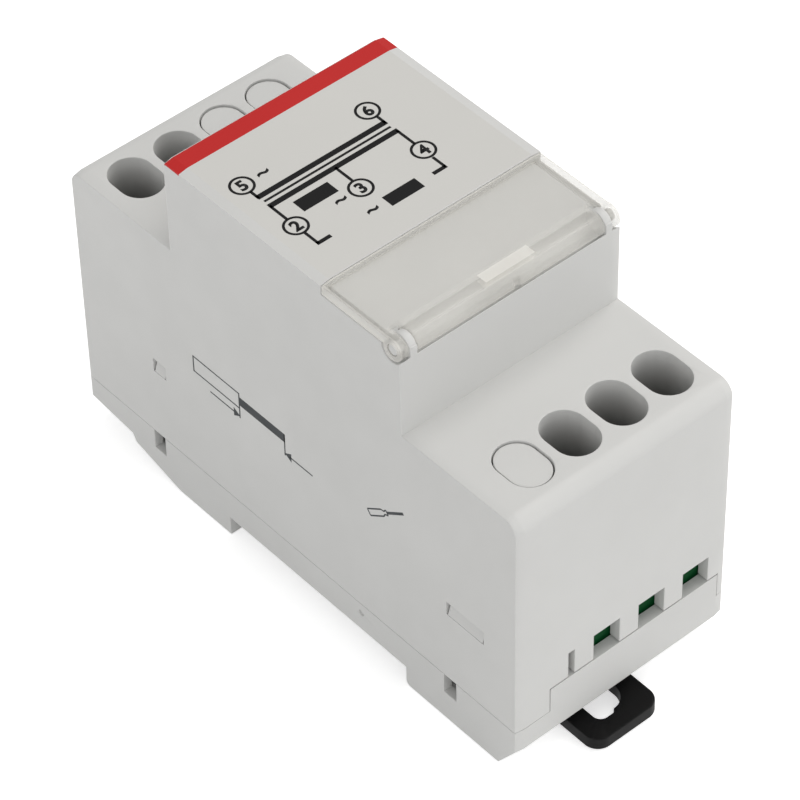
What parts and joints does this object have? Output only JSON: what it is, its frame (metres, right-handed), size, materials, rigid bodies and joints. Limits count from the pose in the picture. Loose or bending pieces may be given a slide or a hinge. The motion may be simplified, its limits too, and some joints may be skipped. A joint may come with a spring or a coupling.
{
  "type": "doorbell transformer",
  "caption": "Rail-mounted doorbell transformer: stepped grey housing, clear hinged label flap, sliding rail clip, screw terminals behind wire windows, wound core inside.",
  "frame": {"origin": "centre of the rail's width on the rail seat, middle of the housing's width", "axes": "+Z away from the rail towards the label, X along the rail, -Y towards the end with the rail clip"},
  "size_m": [0.036, 0.0902, 0.0609],
  "materials": {
    "housing": "fine matt moulding",
    "housing_base": "fine matt moulding",
    "guide_grey": "fine matt moulding",
    "clear_flap": "clear, frosted grip",
    "label_film": "satin film with black print",
    "red_band": "satin film",
    "clip_black": "fine matt moulding",
    "block_green": "satin moulding",
    "core_steel": "stacked laminations",
    "bobbin_white": "matt moulding",
    "winding_copper": "enamelled copper wire",
    "tape_yellow": "satin film",
    "cutout_black": "matt moulding",
    "screw_steel": "zinc plated",
    "cage_steel": "zinc plated",
    "contact_brass": "bright",
    "lead_red": "smooth insulation",
    "lead_white": "smooth insulation"
  },
  "bodies": {
    "housing": {"front_cover": "housing", "rear_base": "housing_base", "front_label": "label_film", "red_band": "red_band", "blank_insert_near": "housing", "blank_insert_far_outer": "housing", "blank_insert_far_inner": "housing", "secondary_terminal_block": "block_green", "primary_terminal_block": "block_green", "core_e_stack": "core_steel", "core_i_stack": "core_steel", "driver_guide_near": "guide_grey", "driver_guide_far": "guide_grey", "bobbin": "bobbin_white", "secondary_winding": "winding_copper", "primary_winding": "winding_copper", "secondary_tape": "tape_yellow", "primary_tape": "tape_yellow", "thermal_cutout": "cutout_black", "contact_bar_2": "contact_brass", "lead_2": "lead_white", "contact_bar_3": "contact_brass", "lead_3": "lead_white", "contact_bar_4": "contact_brass", "lead_4": "lead_white", "contact_bar_5": "contact_brass", "lead_5": "lead_red", "contact_bar_6": "contact_brass", "lead_6": "lead_red"},
    "flap": {"label_flap": "clear_flap"},
    "clip": {"rail_clip": "clip_black"},
    "screw_2": {"clamp_screw_2": "screw_steel"},
    "cage_2": {"clamp_cage_2": "cage_steel"},
    "screw_3": {"clamp_screw_3": "screw_steel"},
    "cage_3": {"clamp_cage_3": "cage_steel"},
    "screw_4": {"clamp_screw_4": "screw_steel"},
    "cage_4": {"clamp_cage_4": "cage_steel"},
    "screw_5": {"clamp_screw_5": "screw_steel"},
    "cage_5": {"clamp_cage_5": "cage_steel"},
    "screw_6": {"clamp_screw_6": "screw_steel"},
    "cage_6": {"clamp_cage_6": "cage_steel"}
  },
  "joints": [
    {"name": "flap_hinge", "type": "hinge", "parent": "housing", "child": "flap", "pos_m": [0, -0.0164, 0.05595], "axis": [1, 0, 0], "range_deg": [0, 100]},
    {"name": "rail_clip_slide", "type": "slide", "parent": "housing", "child": "clip", "axis": [0, -1, 0], "range_m": [0, 0.004]},
    {"name": "screw_2_turn", "type": "hinge", "parent": "housing", "child": "screw_2", "pos_m": [-0.00265, -0.0313, 0.0207], "axis": [0, 0, -1], "range_deg": [0, 1801]},
    {"name": "cage_2_lift", "type": "slide", "parent": "housing", "child": "cage_2", "axis": [0, 0, 1], "range_m": [0, 0.0025]},
    {"name": "screw_3_turn", "type": "hinge", "parent": "housing", "child": "screw_3", "pos_m": [0.00505, -0.0313, 0.0207], "axis": [0, 0, -1], "range_deg": [0, 1801]},
    {"name": "cage_3_lift", "type": "slide", "parent": "housing", "child": "cage_3", "axis": [0, 0, 1], "range_m": [0, 0.0025]},
    {"name": "screw_4_turn", "type": "hinge", "parent": "housing", "child": "screw_4", "pos_m": [0.01275, -0.0313, 0.0207], "axis": [0, 0, -1], "range_deg": [0, 1801]},
    {"name": "cage_4_lift", "type": "slide", "parent": "housing", "child": "cage_4", "axis": [0, 0, 1], "range_m": [0, 0.0025]},
    {"name": "screw_5_turn", "type": "hinge", "parent": "housing", "child": "screw_5", "pos_m": [-0.01275, 0.04, 0.0207], "axis": [0, 0, -1], "range_deg": [0, 1801]},
    {"name": "cage_5_lift", "type": "slide", "parent": "housing", "child": "cage_5", "axis": [0, 0, 1], "range_m": [0, 0.0025]},
    {"name": "screw_6_turn", "type": "hinge", "parent": "housing", "child": "screw_6", "pos_m": [-0.00505, 0.04, 0.0207], "axis": [0, 0, -1], "range_deg": [0, 1801]},
    {"name": "cage_6_lift", "type": "slide", "parent": "housing", "child": "cage_6", "axis": [0, 0, 1], "range_m": [0, 0.0025]}
  ],
  "couplings": [
    {"joint": "screw_2_turn", "follows": "cage_2_lift", "rad_per_m": 12566},
    {"joint": "screw_3_turn", "follows": "cage_3_lift", "rad_per_m": 12566},
    {"joint": "screw_4_turn", "follows": "cage_4_lift", "rad_per_m": 12566},
    {"joint": "screw_5_turn", "follows": "cage_5_lift", "rad_per_m": 12566},
    {"joint": "screw_6_turn", "follows": "cage_6_lift", "rad_per_m": 12566}
  ]
}
